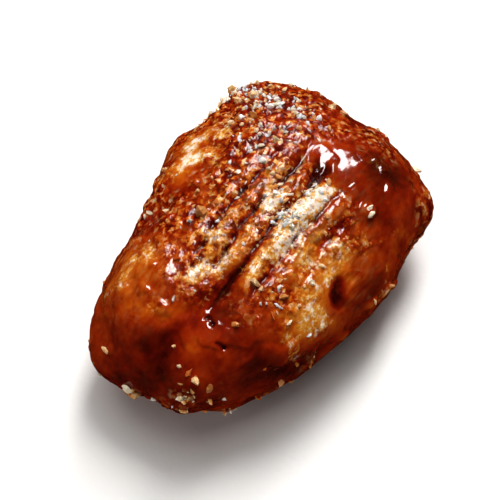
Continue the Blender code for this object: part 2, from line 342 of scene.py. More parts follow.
# Ranges: a level's two ends, then what is made of them
GRAIN_BY_SUGAR = (0.15, 0.95, 0.05, 1.0)  # share of the grain's height, from smooth glaze to sugar
GRAINY_BY_SUGAR = (0.15, 0.80, 0.05, 1.0)  # how grainy the finish is
OFF_THE_TRAY = (0.05 * MM, 0.90 * MM, 0.0, 1.0)  # heights between which the grain sets in
PATCH_EDGES = (0.40, 0.60, 0.15, 1.0)  # share of the loose grains beside and in a patch
FILM_ON_GRAIN = (0.0, 1.0, 0.5, -0.5)  # thicker between the grains and thinner on top of them
SKIN_ON_CRESTS = (-0.10, 0.08, 0.0, 0.9)
DRIFT_CONTRAST = (0.32, 0.68, 0.0, 1.0)
SPECKS_BY_SUGAR = (0.20, 0.95, 0.0, 0.75)
SPECKS_BY_RELIEF = (-0.26, -0.10, 0.1, 1.0)  # hardly any down in the grooves
FROST_COVER = (-0.30, 0.80, 0.0, 0.80)
FROST_FADE = (0.05, 0.35, 0.0, 1.0)
ROUGHNESS_BY_SUGAR = (0.2, 0.9, 0.10, 0.14)

# Strengths in the materials
MIDDLE = 0.5  # the middle of a pattern or level that runs from 0 to 1
RELIEF_THINS_AND_SHADES = 1.45  # how much thinner the film is on a crest one millimetre high, and thicker and darker in a hollow: pooled caramel and painted shade
GRAIN_THINS = 0.45  # how much thinner it is on top of a grain
CRYSTALS_STAIN = 0.12  # how much darker the grains are where loose crystals lie thickly
DRIFT_SHARE = 0.5  # how much of a grain's tone drifts with its place, where the rest is its own
FROST_BREAKS = 5.0  # how sharply the grain breaks up the frost
FROST_SPREADS = 1.8  # how much further it spreads where there is more of it
FROST_ON_CRESTS = 1.6  # how much thicker it is on a crest one millimetre high
FROST_AND_HIGHLIGHT_WHITENS = 0.34  # how much whiter it is where it is thick: paler sugar, and on the ridges a painted highlight
WAVE_SHARE = 1.6  # strength of the waves beside the grit
GRIT_DEPTH = 0.05 * MM
CARD_TOOTH_DEPTH = 0.02 * MM
MOTTLE_SHARE = 0.5

# What the shaders' own sockets hold
GLAZE_SOCKETS = {
    "IOR": 1.54,
    "Specular IOR Level": 0.68,
    "Subsurface Weight": 0.08,
    "Subsurface Radius": (1.0, 0.30, 0.08),
    "Subsurface Scale": 0.6 * MM,
}
CRYSTAL_SOCKETS = {
    "Roughness": 0.12,
    "IOR": 1.54,
    "Subsurface Weight": 1.0,
    "Subsurface Radius": (1.0, 0.85, 0.70),
    "Subsurface Scale": 0.5 * MM,
}
CRUMB_SOCKETS = {"Roughness": 0.5, "IOR": 1.45}
CARD_SOCKETS = {"Roughness": 0.9}

# Kinds of node that are used often, and the numbers of the sockets of the one that mixes
MATH = "ShaderNodeMath"
VECTOR_MATH = "ShaderNodeVectorMath"
RANGE = "ShaderNodeMapRange"
NOISE = "ShaderNodeTexNoise"
RAMP = "ShaderNodeValToRGB"
MIX = "ShaderNodeMix"
CHANCE = "FunctionNodeRandomValue"
LEVEL = "GeometryNodeInputNamedAttribute"
STORE = "GeometryNodeStoreNamedAttribute"
MIX_SHARE = 0
MIX_NUMBERS = (2, 3)
MIX_COLOURS = (6, 7)

# Colours as sRGB hex, each at its place from 0 to 1. The ends that a user would change are settings
CARAMEL_FILM = (
    (0.18, "#CE761E"),
    (0.34, "#B4500E"),
    (0.50, "#9A3008"),
    (0.66, "#7D1C06"),
    (0.82, "#5C1305"),
)
NUT_SKIN = (
    (0.30, "#862F0A"),
    (0.44, "#BB661A"),
    (0.58, "#D8993E"),
    (0.72, "#EBC888"),
)
SUGAR_GRAINS = (
    (0.20, "#520804"),
    (0.42, "#861A05"),
    (0.56, "#B84A0C"),
    (0.70, "#DC943C"),
    (0.88, "#F7DFB4"),
)
# Its white end also paints the ridges' highlight
SUGAR_FROST_AND_HIGHLIGHT = (
    (0.36, "#B0560E"),
    (0.46, "#D08A2E"),
    (0.56, "#E6B45E"),
    (0.68, "#FFF2DE"),
)
STAINED_CRYSTALS = (
    (0.00, "#A0420E"),
    (0.30, "#D48E50"),
    (0.55, "#EAB88C"),
    (0.80, "#F6DEC6"),
)
TOASTED_CRUMBS = (
    (0.00, "#B9773A"),
    (0.35, "#DDB27A"),
    (0.70, "#F0DBB4"),
)
WORLD_COLOUR = "#FFFFFF"

# The stage: each light's name, then its bearing from +X, height angle and distance, its width and
# height, its power, and whether the glaze mirrors it: the soft ones only lift the shadows
LIGHTS = (
    ("key_light", (20, 59, 0.24), (0.070, 0.150), 0.50, True),
    ("top_light", (60, 78, 0.34), (0.30, 0.30), 0.50, False),
    ("fill_light", (170, 38, 0.40), (0.20, 0.20), 0.14, False),
)
WORLD_STRENGTH = 0.10
CAMERA_BEARING = -140
CAMERA_HEIGHT_ANGLE = 60
CAMERA_LENS = 100
CAMERA_CLIP = 0.005
CAMERA_FIELD = 35.5 * MM  # width of what the camera sees at the nut's middle
FLOOR_SIZE = 1.2


def hex_colour(code):
    """A colour written as sRGB hex, as linear red, green, blue and alpha."""
    channels = [int(code[start : start + 2], 16) / 255 for start in (1, 3, 5)]
    linear = [c / 12.92 if c <= 0.04045 else ((c + 0.055) / 1.055) ** 2.4 for c in channels]
    return (*linear, 1.0)


LENGTH_INPUT = {"precision": 5, "unit": "LENGTH"}
COLOUR_INPUT = {"size": 4, "min": 0.0, "max": 1.0, "subtype": "COLOR"}


class AlmondSettings(bpy.types.PropertyGroup):
    """Sizes and colours of the candied almond's sugar, and the colour of the floor."""

    grain_size: FloatProperty(
        name="Grain size",
        description="Width of a grain of sugar that stands in the crust",
        default=0.46 * MM,
        min=0.1 * MM,
        **LENGTH_INPUT,
    )
    grain_height: FloatProperty(
        name="Grain height",
        description="How far a grain of sugar stands out of the crust",
        default=0.15 * MM,
        min=0.0,
        **LENGTH_INPUT,
    )
    ripple_size: FloatProperty(
        name="Ripple size",
        description="Width of a ripple in the smooth glaze",
        default=1.5 * MM,
        min=0.2 * MM,
        **LENGTH_INPUT,
    )
    ripple_height: FloatProperty(
        name="Ripple height",
        description="How far the smooth glaze ripples",
        default=0.09 * MM,
        min=0.0,
        **LENGTH_INPUT,
    )
    crystal_size: FloatProperty(
        name="Crystal size",
        description="Width of the largest loose sugar crystals",
        default=0.62 * MM,
        min=0.05 * MM,
        **LENGTH_INPUT,
    )
    crumb_size: FloatProperty(
        name="Crumb size",
        description="Width of the largest pale crumbs",
        default=0.95 * MM,
        min=0.1 * MM,
        **LENGTH_INPUT,
    )
    thin_caramel: FloatVectorProperty(
        name="Thin caramel",
        description="Colour of the crust where its caramel is thinnest",
        default=hex_colour("#E2A048"),
        **COLOUR_INPUT,
    )
    pooled_caramel: FloatVectorProperty(
        name="Pooled caramel",
        description="Colour of the crust where its caramel is thickest",
        default=hex_colour("#3A0A05"),
        **COLOUR_INPUT,
    )
    clean_crystal: FloatVectorProperty(
        name="Clean crystal",
        description="Colour of the loose crystals that have no stain",
        default=hex_colour("#FFFBF2"),
        **COLOUR_INPUT,
    )
    pale_crumb: FloatVectorProperty(
        name="Pale crumb",
        description="Colour of the palest crumbs",
        default=hex_colour("#FBF3DF"),
        **COLOUR_INPUT,
    )
    floor_colour: FloatVectorProperty(
        name="Floor",
        description="Colour of the card that the nut lies on",
        default=hex_colour("#F4F2EF"),
        **COLOUR_INPUT,
    )


def set_inputs(tree, node, inputs):
    """Sets a node's inputs, listed in order or given by name or number, to values, outputs or nodes.

    A node among them is linked by its first live output.
    """
    for socket, value in inputs.items() if isinstance(inputs, dict) else enumerate(inputs):
        if isinstance(value, bpy.types.Node):
            value = next(output for output in value.outputs if output.enabled)
        if isinstance(value, bpy.types.NodeSocket):
            tree.links.new(value, node.inputs[socket])
        else:
            node.inputs[socket].default_value = value


def add_node(tree, kind, inputs=(), stops=(), **settings):
    """Adds a node with its settings, its inputs, and a ramp's stops, which are places and colours."""
    node = tree.nodes.new(kind)
    for name, value in settings.items():
        setattr(node, name, value)
    set_inputs(tree, node, inputs)
    for number, (place, colour) in enumerate(stops):
        ramp = node.color_ramp.elements
        element = ramp[number] if number < len(ramp) else ramp.new(place)
        element.position = place
        element.color = hex_colour(colour) if isinstance(colour, str) else colour
    return node


def pattern_at(place, pattern):
    """The inputs of a noise node that draws a pattern at a place."""
    size, detail, roughness = pattern
    return {"Vector": place, "Scale": 1 / size, "Detail": detail, "Roughness": roughness}


# The form


def direction(bearing, height_angle):
    """The unit vector at a bearing from +X and an angle above the body's middle, in degrees."""
    bearing, height_angle = math.radians(bearing), math.radians(height_angle)
    across = math.cos(height_angle)
    return Vector((math.cos(bearing) * across, math.sin(bearing) * across, math.sin(height_angle)))


def body_points(units):
    """The bare body's surface points in the given directions, one to a row."""
    reach = (np.abs(units) ** SQUARENESS).sum(axis=1) ** (-1 / SQUARENESS)
    along, across, up = (units * reach[:, None]).T
    x = along * (LENGTH / 2 - CRUST_RELIEF)
    y = across * (WIDTH / 2 - CRUST_RELIEF) * (1 + TAPER_WIDTH * along) + LEAN * x
    z = up * ((HEIGHT + REST_PRESS) / 2 - CRUST_RELIEF) * (1 + TAPER_HEIGHT * along)
    return np.stack([x, y, z], axis=1)


def body_point(unit):
    """The bare body's surface point in one direction."""
    return body_points(np.array([unit]))[0]


def body_normals(points):
    """The outward directions of the bare body at its points."""
    slopes = points / np.array([LENGTH / 2, WIDTH / 2, HEIGHT / 2]) ** 2
    return slopes / np.linalg.norm(slopes, axis=1)[:, None]


def smooth_step(low, high, values):
    """0 below low, 1 above high, and a smooth rise between them."""
    share = np.clip((values - low) / (high - low), 0.0, 1.0)
    return share * share * (3 - 2 * share)


def smooth_max(first, second, blend):
    """The larger values, with the crease between the two rounded over a width of blend."""
    near = np.maximum(blend - np.abs(first - second), 0.0) / blend
    return np.maximum(first, second) + near * near * blend / 4


def noise_at(points, pattern):
    """Smooth noise about 0, from minus to plus the pattern's strength."""
    size, shift, strength = pattern
    places = points / size + shift * np.array(SHIFT_WAY)
    return strength * np.array([noise.noise(place) for place in places.tolist()])


def noise_vectors(points, size):
    """Smooth noise of three parts, for moving points. It follows the last seed that was set."""
    return np.array([noise.noise_vector(place) for place in (points / size).tolist()])


def distances(points, centre):
    """How far each point is from one place."""
    return np.linalg.norm(points - np.array(centre), axis=1)


def line_distances(points, first, last):
    """How far each point is from a straight line between two places, and its share of the way."""
    first = np.array(first)
    line = np.array(last) - first
    share = np.clip((points - first) @ line / (line @ line), 0.0, 1.0)
    return np.linalg.norm(points - first - share[:, None] * line, axis=1), share


def spread_directions(count, turn):
    """Unit vectors spread evenly over the whole body by the golden angle."""
    golden = math.degrees(math.pi * (3 - math.sqrt(5)))
    for number in range(count):
        level = 1 - 2 * (number + 0.5) / count
        yield direction(number * golden + turn, math.degrees(math.asin(level)))


def random_between(low_high):
    """A seeded random number between two limits."""
    low, high = low_high
    return low + (high - low) * noise.random()


def place_lumps():
    """Centre, radius and rise of each lump of crust, the named ones first."""
    noise.seed_set(SEED)
    lumps = [
        (body_point(direction(bearing, angle)), radius, rise)
        for _, bearing, angle, radius, rise in LUMPS
    ]
    for unit in spread_directions(SPARE_LUMPS, SPARE_TURN):
        jitter = noise.random_unit_vector() * SPARE_JITTER
        centre = body_point((unit + jitter).normalized())
        lumps.append((centre, random_between(SPARE_RADIUS), random_between(SPARE_RISE)))
    return lumps


def place_crumbs():
    """Centre and radius of each crumb, denser towards the blunt end and on the sides of the nut."""
    noise.seed_set(SEED + 1)
    crumbs = []
    while len(crumbs) < CRUMBS:
        unit = noise.random_unit_vector()
        chance = CRUMB_SHARE + CRUMB_BLUNT_SHARE * unit.x + CRUMB_SIDE_SHARE * (1 - abs(unit.z))
        if unit.z > CRUMB_LOWEST and noise.random() < chance:
            crumbs.append((body_point(unit), random_between(CRUMB_RADIUS)))
    return crumbs


def corner_heights(units):
    """Height of the nut's broad corners, less the depth of its flats."""
    heights = np.zeros(len(units))
    for _, bearing, angle, spread, rise in CORNERS:
        facing = np.clip(units @ np.array(direction(bearing, angle)), -1, 1)
        away = np.degrees(np.arccos(facing)) / spread
        heights += rise * np.exp(-away * away)
    return heights


def lump_heights(points, lumps):
    """Height of the lumps of crust, which run into each other in soft creases."""
    heights = np.zeros(len(points))
    for centre, radius, rise in lumps:
        share = distances(points, centre) / radius
        inside = share < 1
        lump = rise * (1 - share[inside] ** 2) ** 1.5
        heights[inside] = smooth_max(heights[inside], lump, LUMP_BLEND)
    return heights


def ridge_heights(points):
    """Height of the skin's ridges: round crests and sharp grooves that fade out at the field's edge."""
    turn = math.radians(RIDGE_TURN)
    x, y = points[:, 0] - RIDGE_CENTRE[0], points[:, 1] - RIDGE_CENTRE[1]
    along = x * math.cos(turn) + y * math.sin(turn)
    across = y * math.cos(turn) - x * math.sin(turn)
    edge = np.hypot(along / RIDGE_HALF_SPAN[0], across / RIDGE_HALF_SPAN[1])
    edge += noise_at(points, RIDGE_FRINGE)
    across += noise_at(points, RIDGE_BEND) + noise_at(points, RIDGE_WANDER)
    crest = np.abs(np.cos(math.pi * across / RIDGE_PITCH)) ** RIDGE_SHARPNESS
    depth = RIDGE_DEPTH * (1 + noise_at(points, RIDGE_UNEVEN))
    heights = depth * (crest - RIDGE_DATUM) * (1 - smooth_step(*RIDGE_FADE, edge))
    return np.where(points[:, 2] < 0, 0.0, heights)


def sheet_heights(points):
    """Height of the thicker sheets of crust, which end in a ledge."""
    level = noise_at(points, SHEET_PLACE) + noise_at(points, SHEET_FRINGE)
    kept = SHEET_LEAST + (1 - SHEET_LEAST) * smooth_step(*SHEET_WORN, noise_at(points, SHEET_WEAR))
    return SHEET_RISE * kept * smooth_step(*SHEET_EDGE, level)


def dug_lines(points, lines, wander, size):
    """Each line's half width and depth, how far the points are from it, and their share of the way."""
    points = points + wander * noise_vectors(points, size)
    for _, start, end, half_width, deepest in lines:
        ends = body_point(direction(*start)), body_point(direction(*end))
        yield half_width, deepest, *line_distances(points, *ends)


def furrow_depths(points):
    """Depth of the furrows, whose lines wander a little."""
    depths = np.zeros(len(points))
    dug = dug_lines(points, FURROWS, FURROW_WANDER, FURROW_WANDER_SIZE)
    for half_width, deepest, gap, share in dug:
        fade = 1 - np.abs(2 * share - 1) ** 3
        bank = smooth_step(0.0, FURROW_BANKS * half_width, gap)
        depths = np.maximum(depths, deepest * fade * (1 - bank))
    return depths


def pit_depths(points):
    """Depth of the burst bubbles, whose rims are uneven."""
    depths = np.zeros(len(points))
    foot, brim = PIT_WALL
    for half_width, deepest, gap, _ in dug_lines(points, PITS, PIT_WANDER, PIT_WANDER_SIZE):
        wall = smooth_step(foot * half_width, brim * half_width, gap)
        depths = np.maximum(depths, deepest * (1 - wall))
    return depths


def crumb_heights(points, crumbs):
    """Height of the crumbs that have set into the crust."""
    heights = np.zeros(len(points))
    ragged = noise_at(points, CRUMB_FRINGE)
    for centre, radius in crumbs:
        share = distances(points, centre) / radius + ragged
        crumb = CRUMB_RISE * radius * (1 - np.maximum(share, 0.0) ** 3)
        heights = np.where(share < 1, np.maximum(heights, crumb), heights)
    return heights


def zone_levels(points, level, zones):
    """A level between 0 and 1 that the named zones raise or lower around their places."""
    levels = np.full(len(points), level)
    for _, centre, radius, amount in zones:
        levels += amount * np.exp(-((distances(points, centre) / radius) ** 2))
    return levels


def streak_levels(points, streaks):
    """A level that is highest along each named line and fades out beside it."""
    levels = np.zeros(len(points))
    for _, first, last, half_width, amount in streaks:
        gap, _ = line_distances(points, first, last)
        levels += amount * np.exp(-((gap / half_width) ** 2))
    return levels


def sphere_grid(cells):
    """A cube cut into a grid and blown up into a ball, so that its cells are nearly even."""
    grid = bmesh.new()
    bmesh.ops.create_cube(grid, size=2)
    bmesh.ops.subdivide_edges(grid, edges=grid.edges[:], cuts=cells - 1, use_grid_fill=True)
    mesh = bpy.data.meshes.new("crust")
    grid.to_mesh(mesh)
    grid.free()
    return mesh


def keep_levels(mesh, levels):
    """Keeps named numbers for each point of the mesh, for the nodes to read."""
    for name, values in levels.items():
        attribute = mesh.attributes.new(name, "FLOAT", "POINT")
        attribute.data.foreach_set("value", values.astype(np.float32))


def zone_finish(points, set_in):
    """The levels of the finish that follow from the place on the nut and the crumbs set in there."""
    crystals = zone_levels(points, CRYSTAL_LEVEL, CRYSTAL_ZONES) + noise_at(points, CRYSTAL_PATCH)
    crumby = zone_levels(points, CRUMBY_LEVEL, CRUMBY_ZONES) + set_in / CRUMB_RADIUS[0]
    frost_and_highlight = streak_levels(points, FROST_STREAKS) + noise_at(points, FROST_PATCH)
    return {
        "crystals": np.clip(crystals, 0, CRYSTALS_MOST),
        "crumby": np.clip(crumby, 0, 1),
        "frost_and_highlight": np.clip(frost_and_highlight, 0, 1),
        "glaze": np.clip(zone_levels(points, GLAZE_LEVEL, GLAZE_ZONES), 0, 1),
        "skin": np.clip(zone_levels(points, SKIN_LEVEL, SKIN_ZONES), 0, 1),
    }


def seat(points):
    """Presses the underside flat, and puts the footprint's middle and the resting face on the origin."""
    tray = points[:, 2].min() + REST_PRESS
    points[:, 2] = np.maximum(points[:, 2], tray)
    middle = (points.min(axis=0) + points.max(axis=0)) / 2
    return points - np.array([middle[0], middle[1], tray])


def make_crust_form():
    """The crust's smooth form as a fine mesh in metres, with the levels that its finish reads.

    Lumps and crumbs are placed first, as in the solid, because the furrows and pits wander by the seed
    that they leave set.
    """
    lumps, crumbs = place_lumps(), place_crumbs()
    mesh = sphere_grid(GRID_CELLS)
    cube = np.empty(len(mesh.vertices) * 3, np.float32)
    mesh.vertices.foreach_get("co", cube)
    units = np.tan(cube.reshape(-1, 3).astype(float) * math.pi / 4)
    units /= np.linalg.norm(units, axis=1)[:, None]
    points = body_points(units)

    sugar = zone_levels(points, SUGAR_LEVEL, SUGAR_ZONES)
    sugar += noise_at(points, SUGAR_PATCH) + noise_at(points, SUGAR_FRAY)
    sugar = np.clip(sugar, 0, 1)
    ridges, furrows, pits = ridge_heights(points), furrow_depths(points), pit_depths(points)
    set_in = crumb_heights(points, crumbs)
    heights = corner_heights(units) + lump_heights(points, lumps) - CRUST_RELIEF / 2
    heights += ridges + sheet_heights(points)
    grit = noise_at(points, GRIT) * (GRIT_ON_GLAZE + (1 - GRIT_ON_GLAZE) * sugar)
    heights += noise_at(points, SWELL) + grit
    heights += set_in - furrows - pits
    crust = points + body_normals(points) * heights[:, None]
    # The relief also darkens the film in the grooves, furrows and pits: pooled caramel and painted shade
    relief = ridges + grit + CRUMB_SHINE * set_in - FURROW_SHADE * furrows - pits
    keep_levels(mesh, {"sugar": sugar, "relief": relief, **zone_finish(points, set_in)})

    mesh.vertices.foreach_set("co", (seat(crust) * MM).astype(np.float32).ravel())
    mesh.shade_smooth()
    mesh.update()
    return mesh


# Trees that raise the grain and scatter the loose grains


def new_tree(name, inputs):
    """An empty geometry tree with a geometry in and out and the given named numbers."""
    tree = bpy.data.node_groups.new(name, "GeometryNodeTree")
    tree.is_modifier = True
    for in_out in ("INPUT", "OUTPUT"):
        tree.interface.new_socket("Geometry", in_out=in_out, socket_type="NodeSocketGeometry")
    for label, value in inputs.items():
        kind = "NodeSocketInt" if isinstance(value, int) else "NodeSocketFloat"
        socket = tree.interface.new_socket(label, in_out="INPUT", socket_type=kind)
        socket.default_value = value
    return tree


def end_tree(tree, geometry, material):
    """Ends a tree in one plain mesh of one material."""
    geometry = add_node(tree, "GeometryNodeRealizeInstances", {"Geometry": geometry})
    geometry = add_node(tree, "GeometryNodeSetMaterial", {"Geometry": geometry, "Material": material})
    add_node(tree, "NodeGroupOutput", {"Geometry": geometry})
    return tree


def apply_tree(piece, tree, values):
    """Runs a tree on a piece with named inputs, and keeps the result as its plain mesh."""
    modifier = piece.modifiers.new(tree.name, "NODES")
    modifier.node_group = tree
    for item in tree.interface.items_tree:
        if item.item_type == "SOCKET" and item.in_out == "INPUT" and item.name in values:
            modifier[item.identifier] = values[item.name]
    bpy.context.view_layer.update()
    evaluated = piece.evaluated_get(bpy.context.evaluated_depsgraph_get())
    mesh = bpy.data.meshes.new_from_object(evaluated)
    piece.modifiers.remove(modifier)
    old, piece.data = piece.data, mesh
    bpy.data.meshes.remove(old)
    mesh.name = piece.name


def warped(tree, position):
    """Places that are moved about a little, so that no grain has straight sides."""
    swirl = add_node(tree, NOISE, pattern_at(position, GRAIN_SWIRL)).outputs["Color"]
    swirl = add_node(tree, VECTOR_MATH, [swirl, (MIDDLE,) * 3], operation="SUBTRACT")
    return add_node(tree, VECTOR_MATH, [swirl, (GRAIN_WARP,) * 3, position], operation="MULTIPLY_ADD")


def packed_grains(tree, place, size, shift):
    """The rise of rounded grains that stand side by side, no two of one height."""
    moved = add_node(tree, VECTOR_MATH, [place, (shift,) * 3], operation="ADD")
    count = add_node(tree, MATH, [1.0, size], operation="DIVIDE")
    cells = add_node(tree, "ShaderNodeTexVoronoi", {"Vector": moved, "Scale": count}).outputs
    away = add_node(tree, MATH, [cells["Distance"], GRAIN_REACH], operation="DIVIDE", use_clamp=True)
    hollow = add_node(tree, MATH, [away, GRAIN_ROUNDNESS], operation="POWER")
    dome = add_node(tree, MATH, [1.0, hollow], operation="SUBTRACT")
    chance = add_node(tree, "FunctionNodeSeparateColor", [cells["Color"]])
    tall = add_node(tree, MATH, [chance, GRAIN_CHANCE, 1 - GRAIN_CHANCE], operation="MULTIPLY_ADD")
    return add_node(tree, MATH, [dome, tall], operation="MULTIPLY")


def crust_tree(material, inputs):
    """Raises the grain of the sugar where it is grainy, and ripples the glaze where it is smooth."""
    tree = new_tree("raised_sugar_grain", inputs)
    given = add_node(tree, "NodeGroupInput").outputs
    position = add_node(tree, "GeometryNodeInputPosition")
    place = warped(tree, position)
    grain = packed_grains(tree, place, given["Grain Size"], 0.0)
    rise = grain
    for share, shift, weight in MORE_GRAINS:
        size = add_node(tree, MATH, [given["Grain Size"], share], operation="MULTIPLY")
        more = packed_grains(tree, place, size, shift)
        rise = add_node(tree, MATH, [more, weight, rise], operation="MULTIPLY_ADD")
    sugar = add_node(tree, LEVEL, {"Name": "sugar"})
    grainy = add_node(tree, RANGE, [sugar, *GRAIN_BY_SUGAR])
    for factor in (grainy, given["Grain Height"]):
        rise = add_node(tree, MATH, [rise, factor], operation="MULTIPLY")

    count = add_node(tree, MATH, [1.0, given["Ripple Size"]], operation="DIVIDE")
    ripple = add_node(tree, NOISE, {"Vector": position, "Scale": count, "Detail": RIPPLE_DETAIL})
    ripple = add_node(tree, MATH, [ripple, MIDDLE], operation="SUBTRACT")
    rise = add_node(tree, MATH, [ripple, given["Ripple Height"], rise], operation="MULTIPLY_ADD")

    height = add_node(tree, "ShaderNodeSeparateXYZ", [position]).outputs["Z"]
    off_tray = add_node(tree, RANGE, [height, *OFF_THE_TRAY], interpolation_type="SMOOTHSTEP")
    rise = add_node(tree, MATH, [rise, off_tray], operation="MULTIPLY")
    normal = add_node(tree, "GeometryNodeInputNormal")
    lift = add_node(tree, VECTOR_MATH, {0: normal, "Scale": rise}, operation="SCALE")
    crust = add_node(tree, "GeometryNodeSetPosition", {"Geometry": given["Geometry"], "Offset": lift})
    crust = add_node(tree, STORE, {"Geometry": crust, "Name": "grain", "Value": grain})
    return end_tree(tree, crust, material)


def lying_points(tree, kind, given, level):
    """Where grains of one kind lie: in patches, off the tray, thickest where their level is high."""
    position = add_node(tree, "GeometryNodeInputPosition")
    patches = add_node(tree, NOISE, pattern_at(position, kind["patches"]))
    patches = add_node(tree, RANGE, [patches, *PATCH_EDGES])
    height = add_node(tree, "ShaderNodeSeparateXYZ", [position]).outputs["Z"]
    off_tray = add_node(tree, MATH, [height, kind["lowest"]], operation="GREATER_THAN")
    density = add_node(tree, MATH, [level, kind["crowding"]], operation="POWER")
    for factor in (patches, off_tray, given["Density"]):
        density = add_node(tree, MATH, [density, factor], operation="MULTIPLY")
    lying = {"Mesh": given["Geometry"], "Density": density, "Seed": given["Seed"]}
    return add_node(tree, "GeometryNodeDistributePointsOnFaces", lying)


def grain_shapes(tree, kind):
    """A few balls one metre wide with their corners knocked about, for the grains to be picked from."""
    shapes = add_node(tree, "GeometryNodeGeometryToInstance")
    knock = kind["knock"]
    for number in range(GRAIN_SHAPES):
        ball = add_node(
            tree, "GeometryNodeMeshIcoSphere", {"Radius": 0.5, "Subdivisions": kind["steps"]}
        )
        knocks = add_node(
            tree, CHANCE, {0: (-knock,) * 3, 1: (knock,) * 3, "Seed": number}, data_type="FLOAT_VECTOR"
        )
        shape = add_node(
            tree, "GeometryNodeSetPosition", {"Geometry": ball.outputs["Mesh"], "Offset": knocks}
        )
        tree.links.new(shape.outputs[0], shapes.inputs[0])
    return shapes


def grain_scale(tree, kind, given):
    """How long, wide and thick each grain is: most are small, and none is a ball."""
    chance = add_node(tree, CHANCE, {2: 0.0, 3: 1.0, "Seed": SIZE_SEED})
    small = add_node(tree, MATH, [chance, kind["smallness"]], operation="POWER")
    size = add_node(tree, RANGE, [small, 0.0, 1.0, given["Smallest"], given["Largest"]])
    stretch = add_node(
        tree, CHANCE, {0: LEAST_STRETCH, 1: MOST_STRETCH, "Seed": STRETCH_SEED}, data_type="FLOAT_VECTOR"
    )
    return add_node(tree, VECTOR_MATH, {0: stretch, "Scale": size}, operation="SCALE")


def scatter_tree(name, kind, material, inputs):
    """Scatters one kind of grain over a crust, each grain with a shade of its own."""
    tree = new_tree(name, inputs)
    given = add_node(tree, "NodeGroupInput").outputs
    level = add_node(tree, LEVEL, {"Name": kind["level"]})
    turn = add_node(
        tree, CHANCE, {0: (0.0,) * 3, 1: (math.tau,) * 3, "Seed": TURN_SEED}, data_type="FLOAT_VECTOR"
    )
    grains = add_node(
        tree,
        "GeometryNodeInstanceOnPoints",
        {
            "Points": lying_points(tree, kind, given, level),
            "Instance": grain_shapes(tree, kind),
            "Pick Instance": True,
            "Rotation": turn,
            "Scale": grain_scale(tree, kind, given),
        },
    )
    shade = add_node(tree, CHANCE, {2: 0.0, 3: 1.0, "Seed": SHADE_SEED})
    # Grains are whiter where they lie thickly: cleaner sugar, and a painted highlight on the bright
    # ridge
    thick = add_node(tree, MATH, [level, MIDDLE], operation="SUBTRACT")
    shade = add_node(tree, MATH, [thick, THICK_WHITENS_AND_HIGHLIGHTS, shade], operation="MULTIPLY_ADD")
    shaded = {"Geometry": grains, "Name": "shade", "Value": shade}
    return end_tree(tree, add_node(tree, STORE, shaded, domain="INSTANCE"), material)


# Materials


def new_material(name, sockets):
    """A material with its tree and its Principled shader, whose own sockets hold the given values."""
    material = bpy.data.materials.new(name)
    material.use_nodes = True
    tree = material.node_tree
    shader = tree.nodes["Principled BSDF"]
    set_inputs(tree, shader, sockets)
    return material, tree, shader


def caramel_film(tree, place, levels, grainy, settings):
    """The colour of the caramel by its film: thick in hollows, where it is darker as pooled caramel and
    painted shade, thin on crests, and cloudy all over.
    """
    film = add_node(
        tree, MATH, [levels["relief"], -RELIEF_THINS_AND_SHADES, levels["glaze"]], operation="MULTIPLY_ADD"
    )
    thinned = add_node(tree, RANGE, [levels["grain"], *FILM_ON_GRAIN])
    thinned = add_node(tree, MATH, [thinned, grainy], operation="MULTIPLY")
    film = add_node(tree, MATH, [thinned, GRAIN_THINS, film], operation="MULTIPLY_ADD")
    for pattern, on_glaze, on_sugar in FILM_CLOUDS:
        cloud = add_node(tree, NOISE, pattern_at(place, pattern))
        cloud = add_node(tree, MATH, [cloud, MIDDLE], operation="SUBTRACT")
        weight = add_node(tree, RANGE, [grainy, 0.0, 1.0, on_glaze, on_sugar])
        film = add_node(tree, MATH, [cloud, weight, film], operation="MULTIPLY_ADD")
    stops = ((0.0, settings.thin_caramel), *CARAMEL_FILM, (1.0, settings.pooled_caramel))
    return add_node(tree, RAMP, [film], stops=stops)


def skin_layer(tree, place, levels):
    """Fine streaks of the nut's skin, drawn out along it, which show on the crests."""
    drawn_out = add_node(tree, "ShaderNodeMapping", {"Vector": place, "Scale": SKIN_STREAK_SCALE})
    streaks = add_node(tree, NOISE, {"Vector": drawn_out, "Scale": 1.0, "Detail": SKIN_STREAK_DETAIL})
    crests = add_node(tree, RANGE, [levels["relief"], *SKIN_ON_CRESTS])
    shows = add_node(tree, MATH, [crests, levels["skin"]], operation="MULTIPLY")
    return streaks, NUT_SKIN, shows


def grain_layer(tree, place, levels):
    """Grains of sugar, each with its own tone, everywhere but down in the grooves."""
    specks = add_node(tree, "ShaderNodeTexVoronoi", {"Vector": place, "Scale": 1 / SPECK_SIZE})
    specks = add_node(tree, "ShaderNodeSeparateColor", [specks.outputs["Color"]]).outputs[0]
    drift = add_node(tree, NOISE, pattern_at(place, TONE_DRIFT))
    drift = add_node(tree, RANGE, [drift, *DRIFT_CONTRAST])
    first, second = MIX_NUMBERS
    tones = add_node(tree, MIX, {MIX_SHARE: DRIFT_SHARE, first: specks, second: drift})
    tones = add_node(tree, MATH, [levels["crystals"], -CRYSTALS_STAIN, tones], operation="MULTIPLY_ADD")
    sugary = add_node(tree, RANGE, [levels["sugar"], *SPECKS_BY_SUGAR])
    standing = add_node(tree, RANGE, [levels["relief"], *SPECKS_BY_RELIEF])
    speckled = add_node(tree, MATH, [sugary, standing], operation="MULTIPLY")
    return tones, SUGAR_GRAINS, speckled


